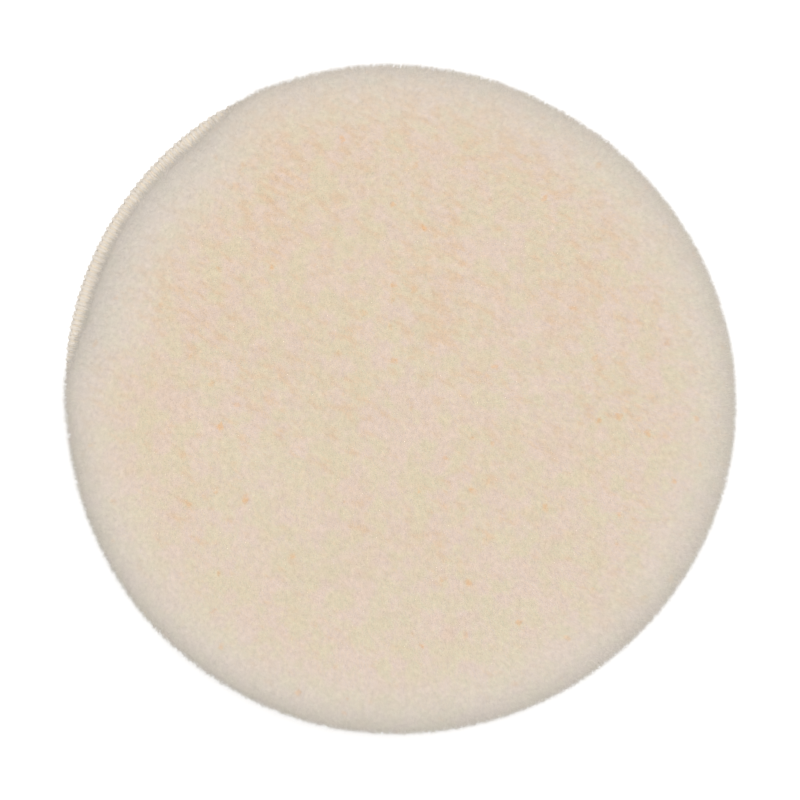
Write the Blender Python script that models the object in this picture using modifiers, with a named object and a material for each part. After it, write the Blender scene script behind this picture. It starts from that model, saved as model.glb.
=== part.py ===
"""Natural lambswool polishing pad with a hook-and-loop back, closed all round by an overlock seam.

The pad lies on its loop face, wool up. The origin is the middle of the loop face and +Z is the pad's
axis. From the bottom up it is a stack: loop pile, loop ground cloth, bonding film, lambskin hide and
the wool that grows from it. Three threads close the rim: the needle thread runs in a ring on the hide,
the upper looper thread covers the hide's edge and the lower looper thread covers the cloth's edge.
Everything is turned about the axis. Neighbours that touch keep one clearance, so each is its own solid.
"""

from math import cos, pi, radians, sin

import bmesh
import bpy

MM = 0.001

# Driving dimensions.
OUTER_DIAMETER = 130.0 * MM  # over the threads that wrap the rim
WOOL_HEIGHT = 14.0 * MM  # from the hide to the crown's edge
CROWN_RISE = 0.6 * MM  # how far the middle stands above the crown's edge
SHOULDER_RADIUS = 8.5 * MM  # how far in from the rim the crown starts
SHOULDER_DROP = 7.5 * MM  # how far below the crown's edge the wool is widest
HIDE_THICKNESS = 1.2 * MM
FILM_THICKNESS = 0.2 * MM
CLOTH_THICKNESS = 0.6 * MM
LOOP_HEIGHT = 1.5 * MM
THREAD_DIAMETER = 0.45 * MM
STITCH_BIGHT = 4.2 * MM  # from the rim to the needle line
SEAM_RECESS = 0.15 * MM  # how far the threads under the rim lie above the loop face
CLEARANCE = 0.3 * MM  # between any two pieces that touch
RIM_ROUND = 0.15 * MM  # rounding of the cut edges

SEGMENTS = 80  # around the axis
ARC_STEPS = 6  # along each quarter of the wool's outline
RIM_STEPS = 2  # along the rounding of a cut edge
THREAD_SIDES = 8

# Radii and heights that follow.
RIM_RADIUS = OUTER_DIAMETER / 2
WALL_INNER_RADIUS = RIM_RADIUS - THREAD_DIAMETER
LAYER_RADIUS = WALL_INNER_RADIUS - CLEARANCE
NEEDLE_LINE_RADIUS = RIM_RADIUS - STITCH_BIGHT
FLANGE_INNER_RADIUS = NEEDLE_LINE_RADIUS + THREAD_DIAMETER / 2 + CLEARANCE
WOOL_FOOT_RADIUS = NEEDLE_LINE_RADIUS - THREAD_DIAMETER / 2 - CLEARANCE

CLOTH_BOTTOM = LOOP_HEIGHT + CLEARANCE
FILM_BOTTOM = CLOTH_BOTTOM + CLOTH_THICKNESS + CLEARANCE
HIDE_BOTTOM = FILM_BOTTOM + FILM_THICKNESS + CLEARANCE
HIDE_TOP = HIDE_BOTTOM + HIDE_THICKNESS
SEAM_BOTTOM = SEAM_RECESS
SEAM_TOP = HIDE_TOP + CLEARANCE + THREAD_DIAMETER
SEAM_MIDDLE = (SEAM_BOTTOM + SEAM_TOP) / 2
WOOL_BOTTOM = HIDE_TOP + CLEARANCE
CROWN_EDGE = WOOL_BOTTOM + WOOL_HEIGHT


def clear_scene():
    for old in list(bpy.data.objects):
        bpy.data.objects.remove(old, do_unlink=True)


def arc(centre, radii, start_deg, end_deg, steps):
    """Points on an ellipse's arc in the (radius, height) plane, both ends included."""
    points = []
    for step in range(steps + 1):
        angle = radians(start_deg + (end_deg - start_deg) * step / steps)
        points.append((centre[0] + radii[0] * cos(angle), centre[1] + radii[1] * sin(angle)))
    return points


def material(name, colour, roughness, metallic=0.0):
    made = bpy.data.materials.new(name)
    made.use_nodes = True
    shader = made.node_tree.nodes["Principled BSDF"]
    shader.inputs["Base Color"].default_value = (*colour, 1.0)
    shader.inputs["Roughness"].default_value = roughness
    shader.inputs["Metallic"].default_value = metallic
    return made


def wool_material():
    return material("lambswool", (0.745, 0.617, 0.485), 0.95)


def hide_material():
    return material("hide_leather", (0.62, 0.52, 0.40), 0.8)


def film_material():
    return material("bonding_film", (0.72, 0.70, 0.64), 0.45)


def cloth_material():
    return material("loop_cloth_ground", (0.70, 0.68, 0.63), 0.85)


def loop_material():
    return material("loop_yarn", (0.80, 0.78, 0.73), 0.9)


def thread_material():
    return material("seam_thread", (0.78, 0.72, 0.62), 0.6)


def add_object(name, mesh, finish, collection, parent):
    mesh.materials.append(finish)
    made = bpy.data.objects.new(name, mesh)
    collection.objects.link(made)
    made.parent = parent
    return made


def profile_mesh(name, profile, ring):
    """A mesh of edges through the profile's points, at +X in the XZ plane."""
    outline = bmesh.new()
    corners = [outline.verts.new((radius, 0.0, height)) for radius, height in profile]
    for upper, lower in zip(corners, corners[1:]):
        outline.edges.new((upper, lower))
    if ring:
        outline.edges.new((corners[-1], corners[0]))
    mesh = bpy.data.meshes.new(name)
    outline.to_mesh(mesh)
    outline.free()
    return mesh


def turned(name, profile, finish, collection, parent, ring=False):
    """A solid turned about Z. The profile runs down its outer side, and a ring's profile is a loop."""
    made = add_object(name, profile_mesh(name, profile, ring), finish, collection, parent)
    screw = made.modifiers.new("turn", "SCREW")
    screw.axis = "Z"
    screw.angle = 2 * pi
    screw.steps = SEGMENTS
    screw.render_steps = SEGMENTS
    screw.use_merge_vertices = True
    screw.merge_threshold = 0.00001
    screw.use_smooth_shade = True
    return made


def layer_profile(bottom, top, radius):
    """A flat disc with its cut edge slightly rounded."""
    inner = radius - RIM_ROUND
    rounding = min(RIM_ROUND, (top - bottom) / 2)
    upper = arc((inner, top - rounding), (RIM_ROUND, rounding), 90, 0, RIM_STEPS)
    lower = arc((inner, bottom + rounding), (RIM_ROUND, rounding), 0, -90, RIM_STEPS)
    if rounding == (top - bottom) / 2:
        lower = lower[1:]
    return [(0.0, top), *upper, *lower, (0.0, bottom)]


def wool_profile():
    """A domed crown, a round shoulder, and an underside that hangs over the seam's threads."""
    crown_radius = RIM_RADIUS - SHOULDER_RADIUS
    widest = CROWN_EDGE - SHOULDER_DROP
    under = SEAM_TOP + CLEARANCE
    crown = []
    for step in range(ARC_STEPS):
        share = step / ARC_STEPS
        crown.append((crown_radius * share, CROWN_EDGE + CROWN_RISE * (1 - share**2)))
    shoulder = arc((crown_radius, widest), (SHOULDER_RADIUS, SHOULDER_DROP), 90, 0, ARC_STEPS)
    belly_radii = (RIM_RADIUS - FLANGE_INNER_RADIUS, widest - under)
    belly = arc((FLANGE_INNER_RADIUS, widest), belly_radii, 0, -90, ARC_STEPS)[1:]
    foot = [(WOOL_FOOT_RADIUS, under), (WOOL_FOOT_RADIUS, WOOL_BOTTOM), (0.0, WOOL_BOTTOM)]
    return crown + shoulder + belly + foot


def wool_pile(collection, parent):
    return turned("wool_pile", wool_profile(), wool_material(), collection, parent)


def lambskin_hide(collection, parent):
    profile = layer_profile(HIDE_BOTTOM, HIDE_TOP, LAYER_RADIUS)
    return turned("lambskin_hide", profile, hide_material(), collection, parent)


def bonding_film(collection, parent):
    profile = layer_profile(FILM_BOTTOM, FILM_BOTTOM + FILM_THICKNESS, LAYER_RADIUS)
    return turned("bonding_film", profile, film_material(), collection, parent)


def loop_ground_cloth(collection, parent):
    profile = layer_profile(CLOTH_BOTTOM, CLOTH_BOTTOM + CLOTH_THICKNESS, LAYER_RADIUS)
    return turned("loop_ground_cloth", profile, cloth_material(), collection, parent)


def loop_pile(collection, parent):
    """The loops, flat where they meet the hooks, and pressed down under the threads at the rim."""
    pressed_bottom = SEAM_BOTTOM + THREAD_DIAMETER + CLEARANCE
    free_radius = FLANGE_INNER_RADIUS - CLEARANCE
    edge = LAYER_RADIUS - RIM_ROUND
    profile = [
        (0.0, LOOP_HEIGHT),
        *arc((edge, LOOP_HEIGHT - RIM_ROUND), (RIM_ROUND, RIM_ROUND), 90, 0, RIM_STEPS),
        (LAYER_RADIUS, pressed_bottom),
        (free_radius, pressed_bottom),
        *arc((free_radius - RIM_ROUND, RIM_ROUND), (RIM_ROUND, RIM_ROUND), 0, -90, RIM_STEPS),
        (0.0, 0.0),
    ]
    return turned("loop_pile", profile, loop_material(), collection, parent)


def overlock_needle_thread(collection, parent):
    """The row of needle stitches, as one ring of thread on the hide."""
    bpy.ops.mesh.primitive_torus_add(
        major_radius=NEEDLE_LINE_RADIUS,
        minor_radius=THREAD_DIAMETER / 2,
        major_segments=SEGMENTS,
        minor_segments=THREAD_SIDES,
        location=(0.0, 0.0, WOOL_BOTTOM + THREAD_DIAMETER / 2),
    )
    made = bpy.context.object
    made.name = "overlock_needle_thread"
    made.data.name = made.name
    made.data.materials.append(thread_material())
    made.data.shade_smooth()
    for held in list(made.users_collection):
        held.objects.unlink(made)
    collection.objects.link(made)
    made.parent = parent
    return made


def overlock_upper_looper_thread(collection, parent):
    """The threads over the hide's edge, as one band from the needle line round the rim."""
    inner_top = SEAM_TOP - THREAD_DIAMETER
    wall_end = SEAM_MIDDLE + CLEARANCE / 2
    bend = (THREAD_DIAMETER, THREAD_DIAMETER)
    profile = [
        (FLANGE_INNER_RADIUS, SEAM_TOP),
        *arc((WALL_INNER_RADIUS, inner_top), bend, 90, 0, RIM_STEPS),
        (RIM_RADIUS, wall_end),
        (WALL_INNER_RADIUS, wall_end),
        (WALL_INNER_RADIUS, inner_top),
        (FLANGE_INNER_RADIUS, inner_top),
    ]
    finish = thread_material()
    return turned("overlock_upper_looper_thread", profile, finish, collection, parent, ring=True)


def overlock_lower_looper_thread(collection, parent):
    """The threads under the cloth's edge, as one band from the rim to the needle line."""
    inner_bottom = SEAM_BOTTOM + THREAD_DIAMETER
    wall_end = SEAM_MIDDLE - CLEARANCE / 2
    bend = (THREAD_DIAMETER, THREAD_DIAMETER)
    profile = [
        (WALL_INNER_RADIUS, wall_end),
        (RIM_RADIUS, wall_end),
        *arc((WALL_INNER_RADIUS, inner_bottom), bend, 0, -90, RIM_STEPS),
        (FLANGE_INNER_RADIUS, SEAM_BOTTOM),
        (FLANGE_INNER_RADIUS, inner_bottom),
        (WALL_INNER_RADIUS, inner_bottom),
    ]
    finish = thread_material()
    return turned("overlock_lower_looper_thread", profile, finish, collection, parent, ring=True)


def main():
    clear_scene()
    collection = bpy.data.collections.new("polishing_pad")
    bpy.context.scene.collection.children.link(collection)
    pad = bpy.data.objects.new("polishing_pad", None)
    collection.objects.link(pad)
    loop_pile(collection, pad)
    loop_ground_cloth(collection, pad)
    bonding_film(collection, pad)
    lambskin_hide(collection, pad)
    wool_pile(collection, pad)
    overlock_needle_thread(collection, pad)
    overlock_upper_looper_thread(collection, pad)
    overlock_lower_looper_thread(collection, pad)


main()
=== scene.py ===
"""The looks of a natural lambswool polishing pad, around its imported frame.

The pad lies on its loop face with the wool up. Its sub-assemblies are classes: the fleece, the thin sheets
under it, the loops on its back and the overlock seam round its rim. Everything is in metres.
"""

import logging
from dataclasses import dataclass
from enum import Enum
from math import cos, pi, radians, sin, tau

import bmesh
import bpy
import numpy as np
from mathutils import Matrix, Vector


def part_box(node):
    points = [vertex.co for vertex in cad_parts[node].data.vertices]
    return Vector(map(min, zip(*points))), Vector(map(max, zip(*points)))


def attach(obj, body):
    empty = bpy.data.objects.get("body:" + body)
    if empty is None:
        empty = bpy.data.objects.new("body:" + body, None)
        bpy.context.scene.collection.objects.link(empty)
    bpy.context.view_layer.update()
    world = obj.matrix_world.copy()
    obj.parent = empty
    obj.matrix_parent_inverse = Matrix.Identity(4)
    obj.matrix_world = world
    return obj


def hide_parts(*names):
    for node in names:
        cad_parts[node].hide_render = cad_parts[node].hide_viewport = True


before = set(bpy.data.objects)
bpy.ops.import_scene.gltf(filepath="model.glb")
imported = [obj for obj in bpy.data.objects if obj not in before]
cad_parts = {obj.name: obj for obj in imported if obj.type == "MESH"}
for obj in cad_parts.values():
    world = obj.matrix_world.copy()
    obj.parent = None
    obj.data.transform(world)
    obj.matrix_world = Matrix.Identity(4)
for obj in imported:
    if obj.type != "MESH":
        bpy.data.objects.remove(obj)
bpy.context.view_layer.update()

MM = 0.001
BODY = "root"

log = logging.getLogger("polishing_pad")

Colour = tuple[float, float, float]
Triple = tuple[float, float, float]


# ---------------------------------------------------------------- node trees


class Wire:
    """A socket that arithmetic can read: each operation adds a node to its tree."""

    def __init__(self, maker: "Maker", socket: bpy.types.NodeSocket) -> None:
        """Keeps the socket with the maker of its tree."""
        self.maker = maker
        self.socket = socket

    @property
    def is_vector(self) -> bool:
        """Whether the socket carries three numbers."""
        return self.socket.type in {"VECTOR", "RGBA"}

    def _combined(self, operation: str, other: object) -> "Wire":
        """One operation on two numbers or on two vectors."""
        work = self.maker.vector_math if self.is_vector else self.maker.math
        return work(operation, self, other)

    def __add__(self, other: object) -> "Wire":
        """The sum."""
        return self._combined("ADD", other)

    def __sub__(self, other: object) -> "Wire":
        """The difference."""
        return self._combined("SUBTRACT", other)

    def __rsub__(self, other: float) -> "Wire":
        """The difference, from a plain number."""
        return self.maker.math("SUBTRACT", other, self)

    def __mul__(self, other: object) -> "Wire":
        """The product, in which a number scales a vector."""
        if self.is_vector and not (isinstance(other, Wire) and other.is_vector):
            return self.maker.scaled(self, other)
        return self._combined("MULTIPLY", other)

    def __truediv__(self, other: object) -> "Wire":
        """The quotient of two numbers."""
        return self.maker.math("DIVIDE", self, other)

    __radd__ = __add__
    __rmul__ = __mul__


class Maker:
    """Adds nodes to one node tree and joins them."""

    def __init__(self, tree: bpy.types.NodeTree) -> None:
        """Keeps the tree."""
        self.tree = tree

    @classmethod
    def geometry(cls, name: str) -> "Maker":
        """A maker on a new tree for geometry."""
        return cls(bpy.data.node_groups.new(name, "GeometryNodeTree"))

    def feed(self, socket: bpy.types.NodeSocket, value: object) -> None:
        """Joins a wire to a socket, or sets the socket to a plain value."""
        if isinstance(value, Wire):
            self.tree.links.new(value.socket, socket)
        else:
            socket.default_value = value

    def node(self, kind: str, inputs: dict | None = None, **settings: object) -> bpy.types.Node:
        """Adds a node.

        Args:
            kind: Blender's type name of the node.
            inputs: Values or wires by the name or the number of the input.
            settings: The node's own properties.

        Returns:
            The new node.
        """
        made = self.tree.nodes.new(kind)
        for name, value in settings.items():
            setattr(made, name, value)
        for key, value in (inputs or {}).items():
            self.feed(made.inputs[key], value)
        return made

    def wire(self, kind: str, inputs: dict | None = None, output: str | int = 0, **settings: object) -> Wire:
        """Adds a node and returns one of its outputs."""
        return Wire(self, self.node(kind, inputs, **settings).outputs[output])

    def math(self, operation: str, *values: object) -> Wire:
        """A number worked out from numbers."""
        return self.wire("ShaderNodeMath", dict(enumerate(values)), operation=operation)

    def vector_math(self, operation: str, *values: object) -> Wire:
        """A vector worked out from vectors."""
        return self.wire("ShaderNodeVectorMath", dict(enumerate(values)), operation=operation)

    def scaled(self, vector: Wire, by: object) -> Wire:
        """A vector times a number."""
        return self.wire("ShaderNodeVectorMath", {0: vector, "Scale": by}, operation="SCALE")

    def length(self, vector: Wire) -> Wire:
        """How long a vector is."""
        return self.wire("ShaderNodeVectorMath", {0: vector}, output="Value", operation="LENGTH")

    def dot(self, first: object, second: object) -> Wire:
        """The dot product of two vectors."""
        inputs = {0: first, 1: second}
        return self.wire("ShaderNodeVectorMath", inputs, output="Value", operation="DOT_PRODUCT")

    def unit(self, vector: Wire) -> Wire:
        """A vector made one long."""
        return self.vector_math("NORMALIZE", vector)

    def split(self, vector: Wire) -> tuple[Wire, Wire, Wire]:
        """A vector's three numbers."""
        x, y, z = self.node("ShaderNodeSeparateXYZ", {0: vector}).outputs
        return Wire(self, x), Wire(self, y), Wire(self, z)

    def joined(self, x: object, y: object, z: object) -> Wire:
        """A vector of three numbers."""
        return self.wire("ShaderNodeCombineXYZ", {0: x, 1: y, 2: z})

    def round_about(self, turn: Wire, radius: object, height: object) -> Wire:
        """The place at a turn about Z, a radius and a height."""
        return self.joined(self.math("COSINE", turn) * radius, self.math("SINE", turn) * radius, height)

    def turned_from(self, turn: Wire, middle: float) -> Wire:
        """How far a turn about Z lies from another, whichever way round is shorter."""
        return self.math("ABSOLUTE", self.math("WRAP", turn - middle, pi, -pi))

    def step(self, value: Wire, low: float, high: float, start: float = 0.0, end: float = 1.0) -> Wire:
        """A number that goes smoothly from start to end as value goes from low to high."""
        inputs = {"Value": value, "From Min": low, "From Max": high, "To Min": start, "To Max": end}
        return self.wire("ShaderNodeMapRange", inputs, interpolation_type="SMOOTHSTEP")

    def noise(self, place: Wire, grain: float, detail: float = 2.0, seed: float = 0.0) -> Wire:
        """Cloudy noise about 0, mostly within a half, of a grain in metres."""
        inputs = {"Vector": place, "W": seed, "Scale": 1 / grain, "Detail": detail}
        return self.wire("ShaderNodeTexNoise", inputs, noise_dimensions="4D") * 2.0 - 1.0

    def noise_vector(self, place: Wire, grain: float, detail: float = 1.0) -> Wire:
        """Cloudy noise about 0 in each direction."""
        inputs = {"Vector": place, "Scale": 1 / grain, "Detail": detail}
        return self.wire("ShaderNodeTexNoise", inputs, output="Color") - (0.5, 0.5, 0.5)

    def chance(self, low: Triple, high: Triple, seed: object, of: Wire | None = None) -> Wire:
        """A random vector for each element, or for each value of a whole number."""
        inputs = {"Min": low, "Max": high, "Seed": seed} | ({} if of is None else {"ID": of})
        return self.wire("FunctionNodeRandomValue", inputs, data_type="FLOAT_VECTOR")

    def attribute(self, name: str) -> Wire:
        """A number that a piece keeps on its mesh, for its material."""
        return self.wire("ShaderNodeAttribute", output="Fac", attribute_name=name)

    def mixed(self, share: Wire, first: object, second: object) -> Wire:
        """A colour between two, each a wire or a plain colour."""
        made = self.node("ShaderNodeMix", data_type="RGBA")
        self.feed(made.inputs[0], share)
        for socket, colour in ((made.inputs[6], first), (made.inputs[7], second)):
            self.feed(socket, colour if isinstance(colour, Wire) else (*colour, 1.0))
        return Wire(self, made.outputs[2])

    def input(self, name: str, default: object = None) -> Wire:
        """A named input of a geometry tree, whose kind follows from its default."""
        kinds = {int: "Int", float: "Float", tuple: "Vector"}
        kinds |= {bpy.types.Material: "Material", bpy.types.Object: "Object"}
        kind = kinds[type(default)]
        made = self.tree.interface.new_socket(name=name, in_out="INPUT", socket_type=f"NodeSocket{kind}")
        if kind not in {"Material", "Object"}:
            made.default_value = default
        source = next((n for n in self.tree.nodes if n.type == "GROUP_INPUT"), None)
        source = source or self.tree.nodes.new("NodeGroupInput")
        return Wire(self, source.outputs[name])

    def output(self, name: str, value: Wire, kind: str = "Geometry") -> None:
        """A named output of a geometry tree."""
        self.tree.interface.new_socket(name=name, in_out="OUTPUT", socket_type=f"NodeSocket{kind}")
        end = next((n for n in self.tree.nodes if n.type == "GROUP_OUTPUT"), None)
        end = end or self.tree.nodes.new("NodeGroupOutput")
        self.feed(end.inputs[name], value)

    def stored(self, mesh: Wire, name: str, value: Wire, kind: str = "FLOAT", domain: str = "POINT") -> Wire:
        """The mesh with a value kept on it under a name."""
        inputs = {"Geometry": mesh, "Name": name, "Value": value}
        return self.wire("GeometryNodeStoreNamedAttribute", inputs, data_type=kind, domain=domain)

    def captured(self, mesh: Wire, value: Wire, domain: str = "POINT") -> tuple[Wire, Wire]:
        """The mesh, and a value as it is on it at this point of the tree."""
        made = self.node("GeometryNodeCaptureAttribute", domain=domain)
        made.capture_items.new("VECTOR" if value.is_vector else "FLOAT", "Kept")
        self.feed(made.inputs["Geometry"], mesh)
        self.feed(made.inputs["Kept"], value)
        return Wire(self, made.outputs["Geometry"]), Wire(self, made.outputs["Kept"])

    def moved(self, mesh: Wire, place: Wire) -> Wire:
        """The mesh with each point at a place."""
        return self.wire("GeometryNodeSetPosition", {"Geometry": mesh, "Position": place})

    def position(self) -> Wire:
        """Where each point is."""
        return self.wire("GeometryNodeInputPosition")

    def dressed(self, mesh: Wire, finish: Wire) -> Wire:
        """The mesh shaded smooth, with instances made real, in one material."""
        smooth = self.wire("GeometryNodeSetShadeSmooth", {"Geometry": mesh, "Shade Smooth": True})
        real = self.wire("GeometryNodeRealizeInstances", {"Geometry": smooth})
        return self.wire("GeometryNodeSetMaterial", {"Geometry": real, "Material": finish})


def grown(name: str, tree: bpy.types.NodeTree, values: dict[str, object]) -> bpy.types.Object:
    """Makes a plain mesh object from a geometry tree.

    Args:
        name: The piece's name.
        tree: The tree that makes it from nothing.
        values: The tree's inputs that differ from their defaults, by name.

    Returns:
        The piece, at the origin, with no modifier.
    """
    seedling = placed(name, bpy.data.meshes.new(name))
    modifier = seedling.modifiers.new("shape", "NODES")
    modifier.node_group = tree
    sockets = {s.name: s.identifier for s in tree.interface.items_tree if s.in_out == "INPUT"}
    for key, value in values.items():
        modifier[sockets[key]] = value
    graph = bpy.context.evaluated_depsgraph_get()
    mesh = bpy.data.meshes.new_from_object(seedling.evaluated_get(graph), depsgraph=graph)
    bpy.data.objects.remove(seedling, do_unlink=True)
    return placed(name, mesh)


def placed(name: str, mesh: bpy.types.Mesh) -> bpy.types.Object:
    """Puts a mesh in the scene as an object at the origin."""
    made = bpy.data.objects.new(name, mesh)
    bpy.context.scene.collection.objects.link(made)
    return made


def attached(piece: bpy.types.Object, node: str) -> None:
    """Has a piece ride on the pad and stand for one of its nodes."""
    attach(piece, BODY)
    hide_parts(node)
    log.info("%s: %d faces, for %s", piece.name, len(piece.data.polygons), node)


def rows_of(items: bpy.types.bpy_prop_collection, field: str, width: int = 3) -> np.ndarray:
    """A field of each item, as the rows of an array."""
    found = np.empty(len(items) * width, np.float32)
    items.foreach_get(field, found)
    return found.reshape(-1, width)


def softened(mesh: bpy.types.Mesh, towards: np.ndarray, share: np.ndarray | float) -> None:
    """Turns a mesh's shading normals part of the way towards other directions.

    Args:
        mesh: The mesh, which keeps the turned normals.
        towards: A direction for each vertex.
        share: How far to turn, from 0 to 1, for every vertex or for each.
    """
    turned = towards * share + rows_of(mesh.vertices, "normal") * (1 - share)
    turned /= np.maximum(np.linalg.norm(turned, axis=1, keepdims=True), 1e-9)
    mesh.normals_split_custom_set_from_vertices(turned)


# ---------------------------------------------------------------- the pad's frame


@dataclass(frozen=True)
class Levels:
    """The pad's heights and radii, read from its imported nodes."""

    rim: float
    hide: tuple[float, float]
    film: tuple[float, float]
    cloth: tuple[float, float]
    needle_line: float
    thread: float
    crown: float

    @classmethod
    def read(cls) -> "Levels":
        """Reads each level from the box of its node."""

        def heights(node: str) -> tuple[float, float]:
            low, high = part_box(node)
            return low[2], high[2]

        needle = heights("overlock_needle_thread")
        thread = needle[1] - needle[0]
        return cls(
            rim=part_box("overlock_upper_looper_thread")[1][0],
            hide=heights("lambskin_hide"),
            film=heights("bonding_film"),
            cloth=heights("loop_ground_cloth"),
            needle_line=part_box("overlock_needle_thread")[1][0] - thread / 2,
            thread=thread,
            crown=heights("wool_pile")[1],
        )


@dataclass(frozen=True)
class Outline:
    """The hand-cut outline: a circle that two slow waves and one fuller stretch leave out of round."""

    radius: float
    oval: float = 0.40 * MM
    oval_turn: float = radians(141.0)
    lobes: float = 0.35 * MM
    fuller: float = 1.05 * MM  # how much further one stretch stands out
    fuller_turn: float = radians(147.0)
    fuller_near: float = radians(22.0)
    fuller_far: float = radians(40.0)

    def at(self, turn: float) -> float:
        """The radius in a direction, in radians from +X."""
        away = abs((turn - self.fuller_turn + pi) % tau - pi)
        share = min(max((self.fuller_far - away) / (self.fuller_far - self.fuller_near), 0.0), 1.0)
        fuller = self.fuller * share * share * (3 - 2 * share)
        waves = self.oval * cos(2 * (turn - self.oval_turn)) + self.lobes * cos(3 * turn)
        return self.radius + waves + fuller

    def wire(self, m: Maker, turn: Wire) -> Wire:
        """The same radius as nodes."""
        oval = m.math("COSINE", turn * 2.0 - 2 * self.oval_turn) * self.oval
        away = m.turned_from(turn, self.fuller_turn)
        fuller = m.step(away, self.fuller_near, self.fuller_far, self.fuller, 0.0)
        return oval + m.math("COSINE", turn * 3.0) * self.lobes + fuller + self.radius


# ---------------------------------------------------------------- finishes


@dataclass(frozen=True)
class Finish:
    """A procedural material between two tones. Each kind of finish adds its own pattern."""

    name: str
    high: Colour
    low: Colour
    roughness: float = 0.85
    sheen: float = 0.0
    shine: float = 0.25
    relief: float = 0.1 * MM
    depth: float = 0.0  # how far light passes into it

    def material(self) -> bpy.types.Material:
        """Builds the material: its tone, its roughness and its bump."""
        made = bpy.data.materials.new(self.name)
        made.use_nodes = True
        m = Maker(made.node_tree)
        shader = made.node_tree.nodes["Principled BSDF"]
        place = m.wire("ShaderNodeTexCoord", output="Object")
        m.feed(shader.inputs["Base Color"], self.colour(m, place))
        m.feed(shader.inputs["Roughness"], m.noise(place, 2 * MM) * 0.12 + self.roughness)
        shader.inputs["Sheen Weight"].default_value = self.sheen
        shader.inputs["Specular IOR Level"].default_value = self.shine
        if self.depth:
            shader.inputs["Subsurface Weight"].default_value = 1.0
            shader.inputs["Subsurface Radius"].default_value = (1.0, 1.0, 1.0)
            shader.inputs["Subsurface Scale"].default_value = self.depth
        inputs = {"Strength": 0.5, "Distance": self.relief, "Height": self.height(m, place)}
        m.feed(shader.inputs["Normal"], m.wire("ShaderNodeBump", inputs))
        return made

    def colour(self, m: Maker, place: Wire) -> Wire:
        """A cloudy mix of the two tones."""
        return m.mixed(m.step(m.noise(place, 5 * MM, 4.0), -0.5, 0.5), self.low, self.high)

    def height(self, m: Maker, place: Wire) -> Wire:
        """A fine grain."""
        return m.noise(place, 0.3 * MM, 3.0)


@dataclass(frozen=True)
class HideFinish(Finish):
    """Tanned lambskin: matt suede with open pores."""

    pore: float = 0.5 * MM

    def height(self, m: Maker, place: Wire) -> Wire:
        """Pores between small cells."""
        pores = m.wire("ShaderNodeTexVoronoi", {"Vector": place, "Scale": 1 / self.pore})
        return pores + m.noise(place, 0.3 * MM, 3.0)


@dataclass(frozen=True)
class KnitFinish(Finish):
    """A fine knit: ribs one way and courses the other."""

    rib: float = 0.9 * MM

    def height(self, m: Maker, place: Wire) -> Wire:
        """Ribs and courses."""
        x, y, _ = m.split(place)
        return m.math("SINE", x * (tau / self.rib)) + m.math("SINE", y * (tau / (0.7 * self.rib)))

    def colour(self, m: Maker, place: Wire) -> Wire:
        """Painted shade: the low tone between the ribs, mixed with cloudy tone."""
        tone = self.height(m, place) + m.noise(place, 2 * MM) * 1.2
        return m.mixed(m.step(tone, -2.0, 2.0), self.low, self.high)


@dataclass(frozen=True)
class ThreadFinish(Finish):
    """Sewing thread: plies that run round it."""

    ply: float = 0.9 * MM

    def height(self, m: Maker, place: Wire) -> Wire:
        """Three plies, by the thread's own length and turn."""
        return m.math("SINE", (m.attribute("along") / self.ply + m.attribute("around") * 3.0) * tau)

    def colour(self, m: Maker, place: Wire) -> Wire:
        """Painted shade: the low tone between the plies, mixed with cloudy tone."""
        tone = self.height(m, place) + m.noise(place, 4 * MM)
        return m.mixed(m.step(tone, -1.6, 1.4), self.low, self.high)


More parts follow.
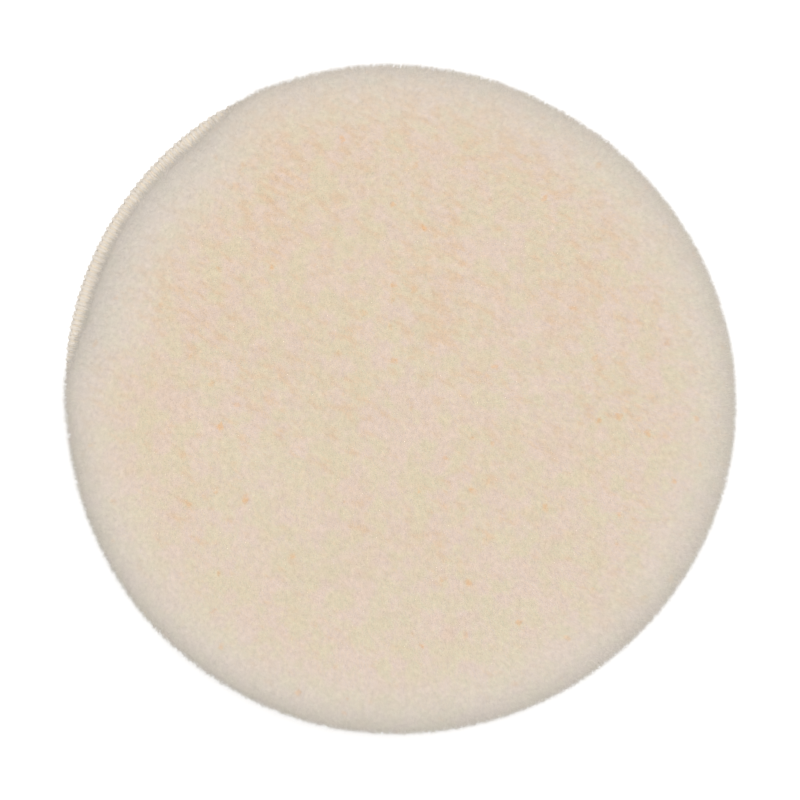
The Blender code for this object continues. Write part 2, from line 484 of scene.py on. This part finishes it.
@dataclass(frozen=True)
class WoolFinish(Finish):
    """Sheared natural wool: pale tips, golden roots, warm clouds and streaks; painted shade at roots, pits,
    spots and rim.
    """

    golden: Colour = (0.615, 0.51, 0.395)
    # painted shade: the greyer, darker tone of the rim's side, which faces away from the lamp above
    rim: Colour = (0.58, 0.545, 0.495)
    rose: Colour = (0.66, 0.555, 0.54)
    straw: Colour = (0.59, 0.595, 0.425)
    amber: Colour = (0.62, 0.465, 0.325)
    # painted shade: the warm, darker orange of shaded pits between staples
    pit_shade: Colour = (0.64, 0.41, 0.235)
    cloud: float = 28 * MM
    mottle: float = 3.2 * MM
    streak: float = 1.5 * MM
    # how far apart the spots of painted pit shade lie
    pit_shade_spacing: float = 4.8 * MM
    grain: Triple = (0.88, -0.48, 0.0)  # the way the streaks run
    comb: float = 0.55  # how much of their breadth the streaks lose against their length

    def colour(self, m: Maker, place: Wire) -> Wire:
        """The tone of a fibre, by its place along it, its own chance and where it stands, with shade painted
        in.
        """
        own = m.attribute("own")
        rim = m.attribute("rim")
        _, y, _ = m.split(place)
        clouds = m.step(m.noise(place, self.cloud, 3.0) + own * 0.15 + y * 3.5, -0.5, 0.6)
        warm = m.mixed(clouds, self.high, self.golden)
        mottle = m.noise(place, self.mottle, 4.0, 5.0) + own * 0.14
        tint = m.mixed(m.step(mottle, -0.25, 0.25), self.rose, self.straw)
        warm = m.mixed(0.7, warm, tint)
        combed = place - m.joined(*self.grain) * (m.dot(place, self.grain) * self.comb)
        streaks = m.noise(combed, self.streak, 3.0, 9.0) + own * 0.2
        streaks += m.noise(place, 16 * MM, 1.0, 2.0) * 0.3
        warm = m.mixed(m.step(streaks + y * 2.5, 0.0, 0.5, 0.0, 0.95), warm, self.amber)
        # painted shade: roots and pits between locks go to the darker low tone, as shade deep in the pile;
        # the roots' warmth is partly the wool's own
        roots = m.step(m.attribute("along"), 0.1, 0.8, 0.6, 0.0)
        deep = m.math("MAXIMUM", m.attribute("pit") * 0.8, roots)
        # painted shade: towards the rim the tone turns to the greyer rim tone
        cool = m.mixed(rim * 0.75, m.mixed(deep, warm, self.low), self.rim)
        # painted shade: small spots turn orange, fewer at the rim
        cool = m.mixed(self.pit_shade_spots(m, place) * (1.0 - rim * 0.8), cool, self.pit_shade)
        shade = m.noise(place, 0.9 * MM, 3.0) * 0.16 + own * 0.10 + 1.0
        return m.vector_math("MULTIPLY", cool, m.joined(shade, shade, shade))

    def pit_shade_spots(self, m: Maker, place: Wire) -> Wire:
        """Where small ragged spots are painted a warm, darker orange, as the shade in pits between staples.
        """
        bent = place + m.noise_vector(place, 1.5 * MM, 3.0) * (2.2 * MM)
        cells = m.node("ShaderNodeTexVoronoi", {"Vector": bent, "Scale": 1 / self.pit_shade_spacing})
        near = m.step(Wire(m, cells.outputs["Distance"]), 0.06, 0.20, 1.0, 0.0)
        x, _, _ = m.split(Wire(m, cells.outputs["Color"]))
        return near * m.step(x, 0.2, 1.0, 0.0, 0.8)


# the second tone is the painted shade at roots and pits
WOOL = WoolFinish("lambswool", (0.63, 0.575, 0.51), (0.605, 0.475, 0.36), 0.9, 0.0, 0.05, 0.05 * MM)
HIDE = HideFinish("lambskin", (0.78, 0.70, 0.59), (0.74, 0.66, 0.54), 0.85, 0.0, 0.2, 0.12 * MM)
FILM = Finish("bonding_film", (0.74, 0.71, 0.64), (0.64, 0.60, 0.52), 0.45, 0.0, 0.4, 0.05 * MM)
# the second tone is painted shade between the ribs, mixed with cloudy tone
KNIT = KnitFinish("loop_cloth", (0.72, 0.70, 0.65), (0.56, 0.54, 0.49), 0.85, 0.0, 0.25, 0.12 * MM)
LOOPS = Finish("loop_yarn", (0.76, 0.74, 0.70), (0.60, 0.58, 0.53), 0.7, 0.2, 0.3, 0.05 * MM)
# the second tone is painted shade between the plies, mixed with cloudy tone
THREAD = ThreadFinish(
    "seam_thread", (0.74, 0.68, 0.605), (0.715, 0.655, 0.575), 0.8, 0.0, 0.1, 0.03 * MM, 0.3 * MM
)
TABLE = Finish("table", (0.96, 0.96, 0.96), (0.95, 0.95, 0.95), 0.9, 0.0, 0.1, 0.02 * MM)


# ---------------------------------------------------------------- the fleece


@dataclass
class Fleece:
    """The wool: a packed undercoat and, standing in it, fibres that lie one way and end level.

    Every point of it is worked out from a plan, a unit disc whose middle is the crown and whose edge is
    where the wool turns under at the rim.
    """

    levels: Levels
    outline: Outline
    finish: bpy.types.Material

    shoulder: float = 8.5 * MM
    rise: float = 0.6 * MM  # how much the middle stands over the shoulder
    crown_share: float = 0.73  # the share of the plan inside the shoulder
    shrink: float = 0.75 * MM  # how far the undercoat lies inside the fibres' tips
    tuck: float = radians(42.0)  # how far under itself the side turns
    bare_tuck: float = radians(22.0)
    widest: float = 9.5 * MM  # the height where the side stands furthest out
    foot: float = 5.1 * MM

    bare_turn: float = radians(147.0)  # the middle of the stretch where the seam shows
    bare_near: float = radians(17.0)
    bare_far: float = radians(35.0)
    bare_recess: float = 3.1 * MM
    bare_hold: float = 0.62  # the share of the recess that the fibres' tips keep to
    bare_slope: float = 2.5 * MM
    bare_drop: float = 1.0 * MM

    wave: float = 0.4 * MM
    ripple: float = 0.15 * MM
    lock: float = 2.8 * MM
    lock_depth: float = 0.25 * MM
    gather: float = 0.08

    nap: Triple = (0.72, -0.69, 0.0)
    lean: float = 0.8  # how far fibres lie along the nap
    swirl: float = 1.0  # how far the nap turns from place to place
    stray: float = 0.8  # how far each fibre goes its own way

    body_across: int = 230
    tiles: int = 3
    tile_across: int = 122
    fibre_length: float = 3.1 * MM
    fibre_spread: float = 0.22  # how much the lengths differ
    crimp: float = 0.08
    fibre_width: float = 0.045 * MM
    planted: float = 1.4 * MM
    give: float = 0.5 * MM  # how softly the outline holds the fibres' tips
    softness: float = 0.9
    rim_relief: float = 0.5  # how much less soft the shading is at the rim
    droop: float = 0.7  # how far fibres hang at the rim
    lift: float = 0.8  # how far light that comes from above passes into the rim

    def plan_of(self, m: Maker, square: Wire) -> Wire:
        """Maps a square from -1 to 1 onto the unit disc, keeping areas alike."""
        x, y, _ = m.split(square)
        wide = m.math("GREATER_THAN", m.math("ABSOLUTE", x), m.math("ABSOLUTE", y))
        reach = m.wire("GeometryNodeSwitch", {0: wide, 1: y, 2: x}, input_type="FLOAT")
        turn = m.wire(
            "GeometryNodeSwitch",
            {0: wide, 1: pi / 2 - x / y * (pi / 4), 2: y / x * (pi / 4)},
            input_type="FLOAT",
        )
        return m.round_about(turn, reach, 0.0)

    def bare(self, m: Maker, turn: Wire) -> Wire:
        """How much the wool stands back from the seam at a turn, from 0 to 1."""
        return m.step(m.turned_from(turn, self.bare_turn), self.bare_near, self.bare_far, 1.0, 0.0)

    def form(self) -> bpy.types.NodeTree:
        """The group that turns a plan into the fleece's surface, and says which way its wool grows."""
        m = Maker.geometry("fleece_form")
        x, y, _ = m.split(m.input("Plan", (0.0, 0.0, 0.0)))
        reach = m.math("MINIMUM", m.length(m.joined(x, y, 0.0)), 1.0)
        turn = m.math("ARCTAN2", y, x)
        bare = self.bare(m, turn)

        edge = self.outline.wire(m, turn) - bare * self.bare_recess - self.shrink
        shoulder = bare * self.bare_slope + self.shoulder
        widest = self.widest - bare * self.bare_drop
        top = self.levels.crown - self.rise - self.shrink
        inner = m.math("MINIMUM", reach / self.crown_share, 1.0)
        outer = m.math("MAXIMUM", (reach - self.crown_share) / (1 - self.crown_share), 0.0)
        tuck = bare * (self.bare_tuck - self.tuck) + self.tuck
        angle = pi / 2 - outer * (tuck + pi / 2)
        level, climb = m.math("COSINE", angle), m.math("SINE", angle)
        radius = (edge - shoulder) * inner + shoulder * level
        above = m.math("MAXIMUM", climb, 0.0) * (top - widest)
        below = m.math("MINIMUM", climb, 0.0) * (widest - self.foot)
        height = widest + above + below + (1.0 - inner * inner) * self.rise
        plain = m.round_about(turn, radius, height)
        outward = m.round_about(turn, level, climb)

        bent = plain + m.noise_vector(plain, 4.5 * MM, 2.0) * (3.0 * MM)
        cells = m.node("ShaderNodeTexVoronoi", {"Vector": bent, "Scale": 1 / self.lock})
        pull = Wire(m, cells.outputs["Position"]) - bent
        patchy = m.step(m.noise(plain, 9 * MM, 1.0, 3.0), -0.3, 0.5)
        pit = m.step(Wire(m, cells.outputs["Distance"]), 0.35, 0.8) * patchy
        waves = m.noise(plain, 24 * MM, 1.0) * self.wave + m.noise(plain, 7 * MM) * self.ripple
        place = plain + outward * (waves - pit * self.lock_depth)

        root = m.round_about(turn, radius * 0.92, self.levels.hide[1])
        swing = m.noise(plain, 26 * MM, 1.0, 7.0) * self.swirl
        lie = m.wire("ShaderNodeVectorRotate", {"Vector": self.nap, "Angle": swing}, rotation_type="Z_AXIS")
        found = {
            "Place": place,
            "Outward": outward,
            "Soft": m.unit(outward + (0.0, 0.0, self.lift)),
            "Growth": m.unit(place - root),
            "Lie": lie,
            "Pull": pull,
            "Pit": pit,
            "Rim": m.step(reach, self.crown_share - 0.10, self.crown_share + 0.14),
        }
        for name, value in found.items():
            m.output(name, value, "Vector" if value.is_vector else "Float")
        return m.tree

    def undercoat_tree(self, form: bpy.types.NodeTree) -> bpy.types.NodeTree:
        """The tree of the undercoat: a closed body that carries its own plan as a map."""
        m = Maker.geometry("undercoat")
        across = m.input("Across", self.body_across)
        foot = m.input("Foot", self.foot)
        finish = m.input("Finish", self.finish)
        grid = m.wire("GeometryNodeMeshGrid", {"Size X": 2.0, "Size Y": 2.0, 2: across, 3: across})
        top, plan = m.captured(grid, self.plan_of(m, m.position()))
        group = m.node("GeometryNodeGroup", node_tree=form)
        m.feed(group.inputs["Plan"], plan)
        last = m.math("GREATER_THAN", m.length(plan), 1.0 - 1.0 / self.body_across)
        inputs = {0: last, 1: Wire(m, group.outputs["Place"]), 2: m.joined(0.0, 0.0, foot)}
        top = m.moved(top, m.wire("GeometryNodeSwitch", inputs, input_type="VECTOR"))
        for name in ("Pit", "Rim"):
            top = m.stored(top, name.lower(), Wire(m, group.outputs[name]))
        top = m.stored(top, "soft", Wire(m, group.outputs["Soft"]), "FLOAT_VECTOR")
        top = m.stored(top, "OFBake", plan * 0.5 + (0.5, 0.5, 0.0), "FLOAT2", "CORNER")
        m.output("Undercoat", m.dressed(top, finish))
        return m.tree

    def fibre_tree(self, form: bpy.types.NodeTree) -> bpy.types.NodeTree:
        """The tree of one tile of fibres: a grid of long cones, each bent along its own path."""
        m = Maker.geometry("fibres")
        across = m.input("Across", self.tile_across)
        column = m.input("Column", 0)
        row = m.input("Row", 0)
        length = m.input("Length", self.fibre_length)
        width = m.input("Width", self.fibre_width)
        seed = m.input("Seed", 0)
        finish = m.input("Finish", self.finish)

        side = 2.0 / self.tiles
        grid = m.wire("GeometryNodeMeshGrid", {"Size X": side, "Size Y": side, 2: across, 3: across})
        local = m.position() * (1.0 - 1.0 / self.tile_across)
        grid, local = m.captured(grid, local)
        half = side / self.tile_across / 2
        jitter = m.chance((-half, -half, 0.0), (half, half, 0.0), seed)
        middle = (self.tiles - 1) / 2
        corner = m.joined((column - middle) * side, (row - middle) * side, 0.0)
        grid, plan = m.captured(grid, self.plan_of(m, local + jitter + corner))
        grid, chance = m.captured(grid, m.chance((-1.0, -1.0, -1.0), (1.0, 1.0, 1.0), seed + 1))
        group = m.node("GeometryNodeGroup", node_tree=form)
        m.feed(group.inputs["Plan"], plan)
        kept = {}
        for name in ("Place", "Outward", "Soft", "Growth", "Lie", "Pull", "Pit", "Rim"):
            grid, kept[name] = m.captured(grid, Wire(m, group.outputs[name]))

        inputs = {"Vertices": 3, "Side Segments": 2, "Radius Top": 0.0, "Radius Bottom": 1.0, "Depth": 1.0}
        cone = m.node("GeometryNodeMeshCone", inputs, fill_type="NGON")
        spike, section = m.captured(Wire(m, cone.outputs["Mesh"]), m.position())
        spike, map_place = m.captured(spike, Wire(m, cone.outputs["UV Map"]), "CORNER")
        planted = m.wire("GeometryNodeInstanceOnPoints", {"Points": grid, "Instance": spike})
        tufts = m.wire("GeometryNodeRealizeInstances", {"Geometry": planted})

        sx, sy, t = m.split(section)
        cx, cy, cz = m.split(chance)
        long = length * (cz * self.fibre_spread + 1.0)
        stray = m.joined(cx, cy, 0.0) * self.stray
        lean = kept["Lie"] * ((1.0 - kept["Rim"] * 0.6) * self.lean)
        start = m.unit(kept["Growth"] + lean * 0.4 + stray * 0.5)
        sag = m.joined(0.0, 0.0, kept["Rim"] * -self.droop)
        end = m.unit(kept["Growth"] + lean * 1.6 + stray + sag)
        base = kept["Place"] - start * self.planted
        run = start * t + (end - start) * (t * t * 0.5)
        gathered = kept["Pull"] * (t * t * self.gather)
        across_it = m.unit(m.vector_math("CROSS_PRODUCT", start, kept["Outward"] + stray))
        over_it = m.vector_math("CROSS_PRODUCT", start, across_it)
        crimp = across_it * (m.math("SINE", (t * 1.3 + cx) * tau) * t * (length * self.crimp))
        thick = width * (cy * 0.3 + 1.0) * m.step(t, 0.25, 1.05, 1.0, 0.25) / (1.0001 - t)
        body = across_it * (sx * thick) + over_it * (sy * thick)
        place = self.reined(m, base + run * long + gathered + crimp + body, cz)
        shape = m.moved(tufts, place)

        for name, value in (("along", t), ("pit", kept["Pit"]), ("rim", kept["Rim"]), ("own", cx)):
            shape = m.stored(shape, name, value)
        shape = m.stored(shape, "soft", kept["Soft"], "FLOAT_VECTOR")
        cell = map_place * (0.96 / self.tile_across) + local * (1 / side)
        corner = 0.5 - 0.48 / self.tile_across
        shape = m.stored(shape, "OFBake", cell + (corner, corner, 0.0), "FLOAT2", "CORNER")
        m.output("Fibres", m.dressed(shape, finish))
        return m.tree

    def reined(self, m: Maker, place: Wire, chance: Wire) -> Wire:
        """Keeps fibres inside the sheared outline, and mostly off the bare stretch of the seam."""
        x, y, z = m.split(place)
        turn = m.math("ARCTAN2", y, x)
        recess = self.bare(m, turn) * (self.bare_hold * self.bare_recess)
        limit = self.outline.wire(m, turn) - recess - self.give + chance * (0.12 * MM)
        radius = m.length(m.joined(x, y, 0.0))
        over = m.math("MAXIMUM", radius - limit, 0.0)
        past = self.give * (1.0 - m.math("EXPONENT", over * (-1 / self.give)))
        held = m.math("MINIMUM", radius, limit) + past
        return m.round_about(turn, held, m.math("MAXIMUM", z, 1.0 * MM))

    def build(self) -> None:
        """Builds the undercoat and each tile of fibres."""
        form = self.form()
        undercoat = grown("wool_undercoat", self.undercoat_tree(form), {"Finish": self.finish})
        welded(undercoat)
        self.soften(undercoat.data)
        self.dress(undercoat)
        tree = self.fibre_tree(form)
        for tile in range(self.tiles**2):
            values = {
                "Column": tile % self.tiles,
                "Row": tile // self.tiles,
                "Seed": 100 + 7 * tile,
                "Finish": self.finish,
            }
            fibres = grown(f"wool_fibres_{tile + 1}", tree, values)
            self.soften(fibres.data)
            fibres.visible_shadow = False  # light passes between loose fibres
            self.dress(fibres)

    def soften(self, mesh: bpy.types.Mesh) -> None:
        """Turns a piece's normals towards the fleece's own, as light that passes through wool does."""
        shared = rows_of(mesh.attributes["soft"].data, "vector")
        rim = rows_of(mesh.attributes["rim"].data, "value", 1)
        softened(mesh, shared, self.softness * (1 - self.rim_relief * rim))
        mesh.attributes.remove(mesh.attributes["soft"])

    def dress(self, piece: bpy.types.Object) -> None:
        """Has a piece stand for the wool."""
        attached(piece, "wool_pile")


def welded(piece: bpy.types.Object) -> None:
    """Merges a piece's doubled points and turns its faces outwards."""
    mesh = bmesh.new()
    mesh.from_mesh(piece.data)
    bmesh.ops.remove_doubles(mesh, verts=mesh.verts, dist=0.01 * MM)
    bmesh.ops.recalc_face_normals(mesh, faces=mesh.faces)
    mesh.to_mesh(piece.data)
    mesh.free()


# ---------------------------------------------------------------- the sheets under the wool


@dataclass
class Sheet:
    """A thin round sheet, cut by hand, whose edge the seam squeezes."""

    name: str
    node: str
    slot: str
    levels: tuple[float, float]
    outline: Outline
    finish: bpy.types.Material
    rests_on: str
    inset: float = 0.6 * MM
    seam: float = 4.2 * MM
    squeeze: float = 0.25
    puckers: int = 198

    def rows(self) -> list[tuple[float, float, float]]:
        """The section from the middle out and back: distance in from the outline, height, and pucker."""
        low, high = self.levels
        thick = high - low
        nip = self.squeeze * thick
        upper = [
            (9.0 * MM, 0.0, 0.0),
            (self.seam + 0.8 * MM, 0.0, 0.0),
            (self.seam, nip, 1.0),
            (self.seam - 0.7 * MM, 0.5 * nip, 0.5),
            (0.5 * (self.seam + self.inset), 0.3 * nip, 0.5),
            (self.inset + 0.25 * thick, 0.8 * nip, 1.0),
            (self.inset + 0.02 * thick, 0.30 * thick, 1.0),
        ]
        top = [(inward, high - drop, -pucker) for inward, drop, pucker in upper]
        return top + [(inward, low + drop, pucker) for inward, drop, pucker in reversed(upper)]

    def build(self) -> None:
        count = 2 * self.puckers
        depth = 0.06 * (self.levels[1] - self.levels[0])
        rows = self.rows()
        mesh = bmesh.new()
        rings = []
        for inward, height, pucker in rows:
            ring = []
            for i in range(count):
                turn = tau * i / count
                radius = self.outline.at(turn) - inward
                lift = pucker * depth * (1 if i % 2 else -1)
                ring.append(mesh.verts.new((radius * cos(turn), radius * sin(turn), height + lift)))
            rings.append(ring)
        poles = [mesh.verts.new((0.0, 0.0, rows[end][1])) for end in (0, -1)]
        for i in range(count):
            j = (i + 1) % count
            mesh.faces.new((poles[0], rings[0][i], rings[0][j]))
            mesh.faces.new((poles[1], rings[-1][j], rings[-1][i]))
            for inner, outer in zip(rings, rings[1:]):
                mesh.faces.new((inner[j], inner[i], outer[i], outer[j]))
        data = bpy.data.meshes.new(self.name)
        mesh.to_mesh(data)
        mesh.free()
        data.shade_smooth()
        data.materials.append(self.finish)
        piece = placed(self.name, data)
        attached(piece, self.node)
        radius = self.outline.radius - self.inset
        across = 2 * (radius + self.outline.oval + self.outline.lobes)
        pi * radius**2


# ---------------------------------------------------------------- the loops


@dataclass
class LoopPile:
    """The hook-and-loop face: rows of small yarn loops that hang from the cloth and lean at random."""

    levels: Levels
    outline: Outline
    finish: bpy.types.Material
    spacing: tuple[float, float] = (1.35 * MM, 1.15 * MM)
    yarn: float = 0.10 * MM
    width: float = 0.52 * MM
    edge: float = 1.5 * MM
    tilt: float = 0.42

    def tree(self) -> bpy.types.NodeTree:
        """The tree of half the loops, which stand on a jittered grid."""
        m = Maker.geometry("loops")
        finish = m.input("Finish", self.finish)
        spacing = m.input("Spacing", (*self.spacing, 0.0))
        side = m.input("Side", 1.0)
        yarn = m.input("Yarn", self.yarn)
        seed = m.input("Seed", 4)
        dx, dy, _ = m.split(spacing)
        reach = self.outline.radius
        columns, rows = round(reach / self.spacing[0]), round(2 * reach / self.spacing[1])
        wide = reach * (1 - 1 / columns)
        inputs = {"Size X": wide, "Size Y": 2 * reach, "Vertices X": columns, "Vertices Y": rows}
        grid = m.wire("GeometryNodeMeshGrid", inputs)
        shift = m.chance((-0.3, -0.3, 0.0), (0.3, 0.3, 0.0), seed)
        jx, jy, _ = m.split(shift)
        place = m.position() + m.joined(jx * dx + side * (reach / 2), jy * dy, self.levels.cloth[0])
        x, y, _ = m.split(place)
        from_middle = m.length(m.joined(x, y, 0.0))
        inside = self.outline.wire(m, m.math("ARCTAN2", y, x)) - self.edge - from_middle
        beyond = m.math("LESS_THAN", inside, 0.0)
        pressed = m.step(inside, 2.2 * MM, 3.2 * MM, 0.42, 1.0)
        grid, kept = m.captured(grid, m.joined(beyond, pressed, 0.0))
        beyond, pressed, _ = m.split(kept)
        gone = {"Geometry": m.moved(grid, place), "Selection": beyond}
        points = m.wire("GeometryNodeDeleteGeometry", gone, domain="POINT")

        deep = self.levels.cloth[0] + 0.1 * MM
        arc = m.wire(
            "GeometryNodeCurveArc",
            {"Resolution": 6, "Radius": 1.0, "Start Angle": radians(-30.0), "Sweep Angle": radians(240.0)},
        )
        ax, ay, _ = m.split(m.position())
        path = m.moved(arc, m.joined(ax * (self.width / 2), 0.0, (ay + 0.5) * (-deep / 1.5) + 0.1 * MM))
        profile = m.wire("GeometryNodeCurvePrimitiveCircle", {"Resolution": 3, "Radius": yarn})
        loop = m.wire("GeometryNodeCurveToMesh", {"Curve": path, "Profile Curve": profile, "Fill Caps": True})
        turned = m.chance((-self.tilt, -self.tilt, -1.3), (self.tilt, self.tilt, 1.3), seed + 1)
        planted = m.wire(
            "GeometryNodeInstanceOnPoints",
            {"Points": points, "Instance": loop, "Rotation": turned, "Scale": m.joined(1.0, 1.0, pressed)},
        )
        m.output("Loops", m.dressed(planted, finish))
        return m.tree

    def build(self) -> None:
        """Builds the loops in two halves."""
        tree = self.tree()
        for number, side in enumerate((-1.0, 1.0), start=1):
            values = {"Side": side, "Seed": 10 * number, "Finish": self.finish}
            piece = grown(f"loops_{number}", tree, values)
            attached(piece, "loop_pile")


# ---------------------------------------------------------------- the seam


class SeamThread(Enum):
    """The threads of the overlock seam, by the node that each stands for."""

    NEEDLE = "overlock_needle_thread"
    UPPER_LOOPER = "overlock_upper_looper_thread"
    LOWER_LOOPER = "overlock_lower_looper_thread"


@dataclass
class OverlockSeam:
    """Three continuous threads that repeat one stitch all round the rim.

    The upper looper runs over the hide and back, the lower looper does the same under the cloth, the two
    interlock at the rim, and the needle thread holds both down along the needle line.
    """

    levels: Levels
    outline: Outline
    finish: bpy.types.Material
    stitches: int = 198
    sides: int = 6
    lay: float = 0.30 * MM  # how far the legs' middle lies over the hide
    fluff: float = 1.7  # the yarn's loose thickness against its pressed one
    softness: float = 0.5
    core: float = 2.5 * MM  # how far in from the rim the middle of the edge's section lies

    def stitch(self, thread: SeamThread) -> list[Triple]:
        """One stitch: share of the pitch, distance in from the rim, height over the pad's middle."""
        span = self.levels.rim - self.levels.thread / 2 - self.levels.needle_line
        lay = self.levels.hide[1] + self.lay - self.middle
        tuck = lay - 0.8 * self.levels.thread
        thick = self.levels.thread
        if thread is SeamThread.NEEDLE:
            arch = tuck + thick
            half = [(0.0, arch), (0.2, arch - 0.04 * MM), (0.36, arch - 0.25 * MM), (0.43, 0.9 * MM)]
            half += [(0.43, -0.9 * MM), (0.40, -arch + 0.3 * MM)]
            down = [(along, span, height) for along, height in half]
            back = [(1.0 - along, span, height) for along, height in reversed(half[1:])]
            return [*down, (0.5, span, -arch), *back]
        points = [
            (0.00, span + 0.05 * MM, tuck),
            (0.17, span - 0.40 * MM, tuck + 0.1 * MM),
            (0.25, 0.62 * span, lay),
            (0.25, 0.32 * span, lay + 0.03 * MM),
            (0.24, 0.35 * MM, lay - 0.22 * MM),
            (0.21, 0.02 * MM, 1.1 * MM),
            (0.22, 0.00 * MM, 0.2 * MM),
            (0.35, 0.10 * MM, -0.35 * MM),
            (0.50, 0.22 * MM, -0.45 * MM),
            (0.65, 0.35 * MM, -0.30 * MM),
            (0.78, 0.7 * thick, 0.2 * MM),
            (0.80, 0.6 * thick, 1.1 * MM),
            (0.76, 0.42 * MM, lay - 0.22 * MM),
            (0.75, 0.32 * span, lay + 0.03 * MM),
            (0.75, 0.62 * span, lay),
            (0.83, span - 0.40 * MM, tuck + 0.1 * MM),
        ]
        if thread is SeamThread.UPPER_LOOPER:
            return points
        return [(along + 0.5, inward, -height) for along, inward, height in points]

    def soften(self, mesh: bpy.types.Mesh) -> None:
        """Turns a thread's normals towards those of the whole edge, as its loose fibres do."""
        edge = rows_of(mesh.vertices, "co") - (0.0, 0.0, self.middle)
        radius = np.linalg.norm(edge[:, :2], axis=1, keepdims=True)
        edge[:, :2] *= 1 - (self.levels.rim - self.core) / radius
        edge /= np.maximum(np.linalg.norm(edge, axis=1, keepdims=True), 0.1 * MM)
        softened(mesh, edge, self.softness)

    @property
    def middle(self) -> float:
        """The height halfway between the hide's top and the cloth's pressed back."""
        return self.levels.hide[1] / 2 + self.levels.thread

    def tree(self, stitch: bpy.types.Object) -> bpy.types.NodeTree:
        """The tree of one thread, which reads its stitch from the points of an object."""
        m = Maker.geometry("stitching")
        source = m.input("Stitch", stitch)
        count = m.input("Stitches", self.stitches)
        thick = m.input("Thread", self.levels.thread * self.fluff)
        sides = m.input("Sides", self.sides)
        seed = m.input("Seed", 1)
        finish = m.input("Finish", self.finish)
        points = m.wire("GeometryNodeObjectInfo", {"Object": source}, output="Geometry")
        size = m.wire("GeometryNodeAttributeDomainSize", {"Geometry": points}, output="Point Count")
        line = m.wire("GeometryNodeMeshLine", {"Count": size * count})
        index = m.wire("GeometryNodeInputIndex")
        number = m.math("FLOOR", (index + 0.5) / size)
        inputs = {"Geometry": points, "Value": m.position(), "Index": index - number * size}
        sample = m.wire("GeometryNodeSampleIndex", inputs, data_type="FLOAT_VECTOR")
        along, inward, height = m.split(sample)
        cx, cy, cz = m.split(m.chance((-1.0, -1.0, -1.0), (1.0, 1.0, 1.0), seed, of=number))
        turn = (number + along + cx * 0.07) * tau / count
        inward = inward * (cy * 0.035 + 1.0)
        radius = self.outline.wire(m, turn) - self.levels.thread / 2 - 0.05 * MM - inward
        place = m.round_about(turn, radius, height * (cz * 0.02 + 1.0) + self.middle)
        path = m.wire("GeometryNodeMeshToCurve", {"Mesh": m.moved(line, place)})
        path = m.wire("GeometryNodeSetSplineCyclic", {"Geometry": path, "Cyclic": True})
        path, length = m.captured(path, m.wire("GeometryNodeSplineParameter", output="Length"))
        profile = m.wire("GeometryNodeCurvePrimitiveCircle", {"Resolution": sides, "Radius": thick / 2.0})
        profile, around = m.captured(profile, m.wire("GeometryNodeSplineParameter", output="Factor"))
        tube = m.wire("GeometryNodeCurveToMesh", {"Curve": path, "Profile Curve": profile})
        tube = m.stored(m.stored(tube, "along", length), "around", around)
        m.output("Thread", m.dressed(tube, finish))
        return m.tree

    def build(self) -> None:
        """Builds the three threads."""
        for seed, thread in enumerate(SeamThread):
            points = bpy.data.meshes.new("stitch")
            points.from_pydata(self.stitch(thread), [], [])
            stitch = placed("stitch", points)
            values = {"Stitch": stitch, "Seed": seed, "Finish": self.finish}
            piece = grown(f"seam_{thread.name.lower()}", self.tree(stitch), values)
            bpy.data.objects.remove(stitch, do_unlink=True)
            self.soften(piece.data)
            piece.visible_shadow = False  # the loose yarn lets light through
            attached(piece, thread.value)


# ---------------------------------------------------------------- the studio


@dataclass
class Studio:
    """The table, the soft light and the camera straight above the pad."""

    half_view: float = 77.24 * MM
    focus: float = 11.0 * MM
    lens: float = 100.0
    aside: tuple[float, float] = (0.35 * MM, -0.21 * MM)
    sky: float = 0.50
    power: float = 13.7
    lamp: Triple = (0.02, 0.06, 1.25)

    def build(self) -> None:
        """Builds the table, the light and the camera."""
        self.table()
        self.light()
        self.camera()

    def table(self) -> None:
        """A large pale table under the pad."""
        top = bmesh.new()
        bmesh.ops.create_grid(top, x_segments=1, y_segments=1, size=3.0)
        mesh = bpy.data.meshes.new("table")
        top.to_mesh(mesh)
        top.free()
        mesh.materials.append(TABLE.material())
        placed("table", mesh)

    def light(self) -> None:
        """A bright even sky and one large soft lamp."""
        world = bpy.data.worlds.new("soft_sky")
        world.use_nodes = True
        sky = world.node_tree.nodes["Background"].inputs
        sky["Color"].default_value = (1.0, 1.0, 1.0, 1.0)
        sky["Strength"].default_value = self.sky
        bpy.context.scene.world = world
        lamp = bpy.data.lights.new("key", "AREA")
        lamp.size = 0.9
        lamp.energy = self.power
        made = bpy.data.objects.new("key", lamp)
        made.location = self.lamp
        made.rotation_euler = (-made.location).to_track_quat("-Z", "Y").to_euler()
        bpy.context.scene.collection.objects.link(made)
        bpy.context.scene.view_settings.view_transform = "Standard"

    def camera(self) -> None:
        """A long lens that looks straight down."""
        data = bpy.data.cameras.new("overhead")
        data.lens = self.lens
        reach = self.half_view * data.lens / (data.sensor_width / 2)
        made = bpy.data.objects.new("overhead", data)
        made.location = (*self.aside, self.focus + reach)
        bpy.context.scene.collection.objects.link(made)
        bpy.context.scene.camera = made


def sheets(levels: Levels, outline: Outline) -> list[Sheet]:
    """The three sheets, from the cloth up."""
    stack = (
        ("loop_cloth", "loop_ground_cloth", "loop_ground", levels.cloth, KNIT, "loops_1"),
        ("melt_film", "bonding_film", "film", levels.film, FILM, "loop_cloth"),
        ("suede_hide", "lambskin_hide", "hide", levels.hide, HIDE, "melt_film"),
    )
    seam = levels.rim - levels.needle_line
    return [
        Sheet(name, node, slot, heights, outline, finish.material(), below, seam=seam)
        for name, node, slot, heights, finish, below in stack
    ]


def main() -> None:
    """Builds the pad's looks piece by piece."""
    logging.basicConfig(level=logging.INFO, format="%(message)s")
    levels = Levels.read()
    outline = Outline(levels.rim)
    log.info("%s", levels)
    LoopPile(levels, outline, LOOPS.material()).build()
    for sheet in sheets(levels, outline):
        sheet.build()
    Fleece(levels, outline, WOOL.material()).build()
    OverlockSeam(levels, outline, THREAD.material()).build()
    Studio().build()


if __name__ == "__main__":
    main()
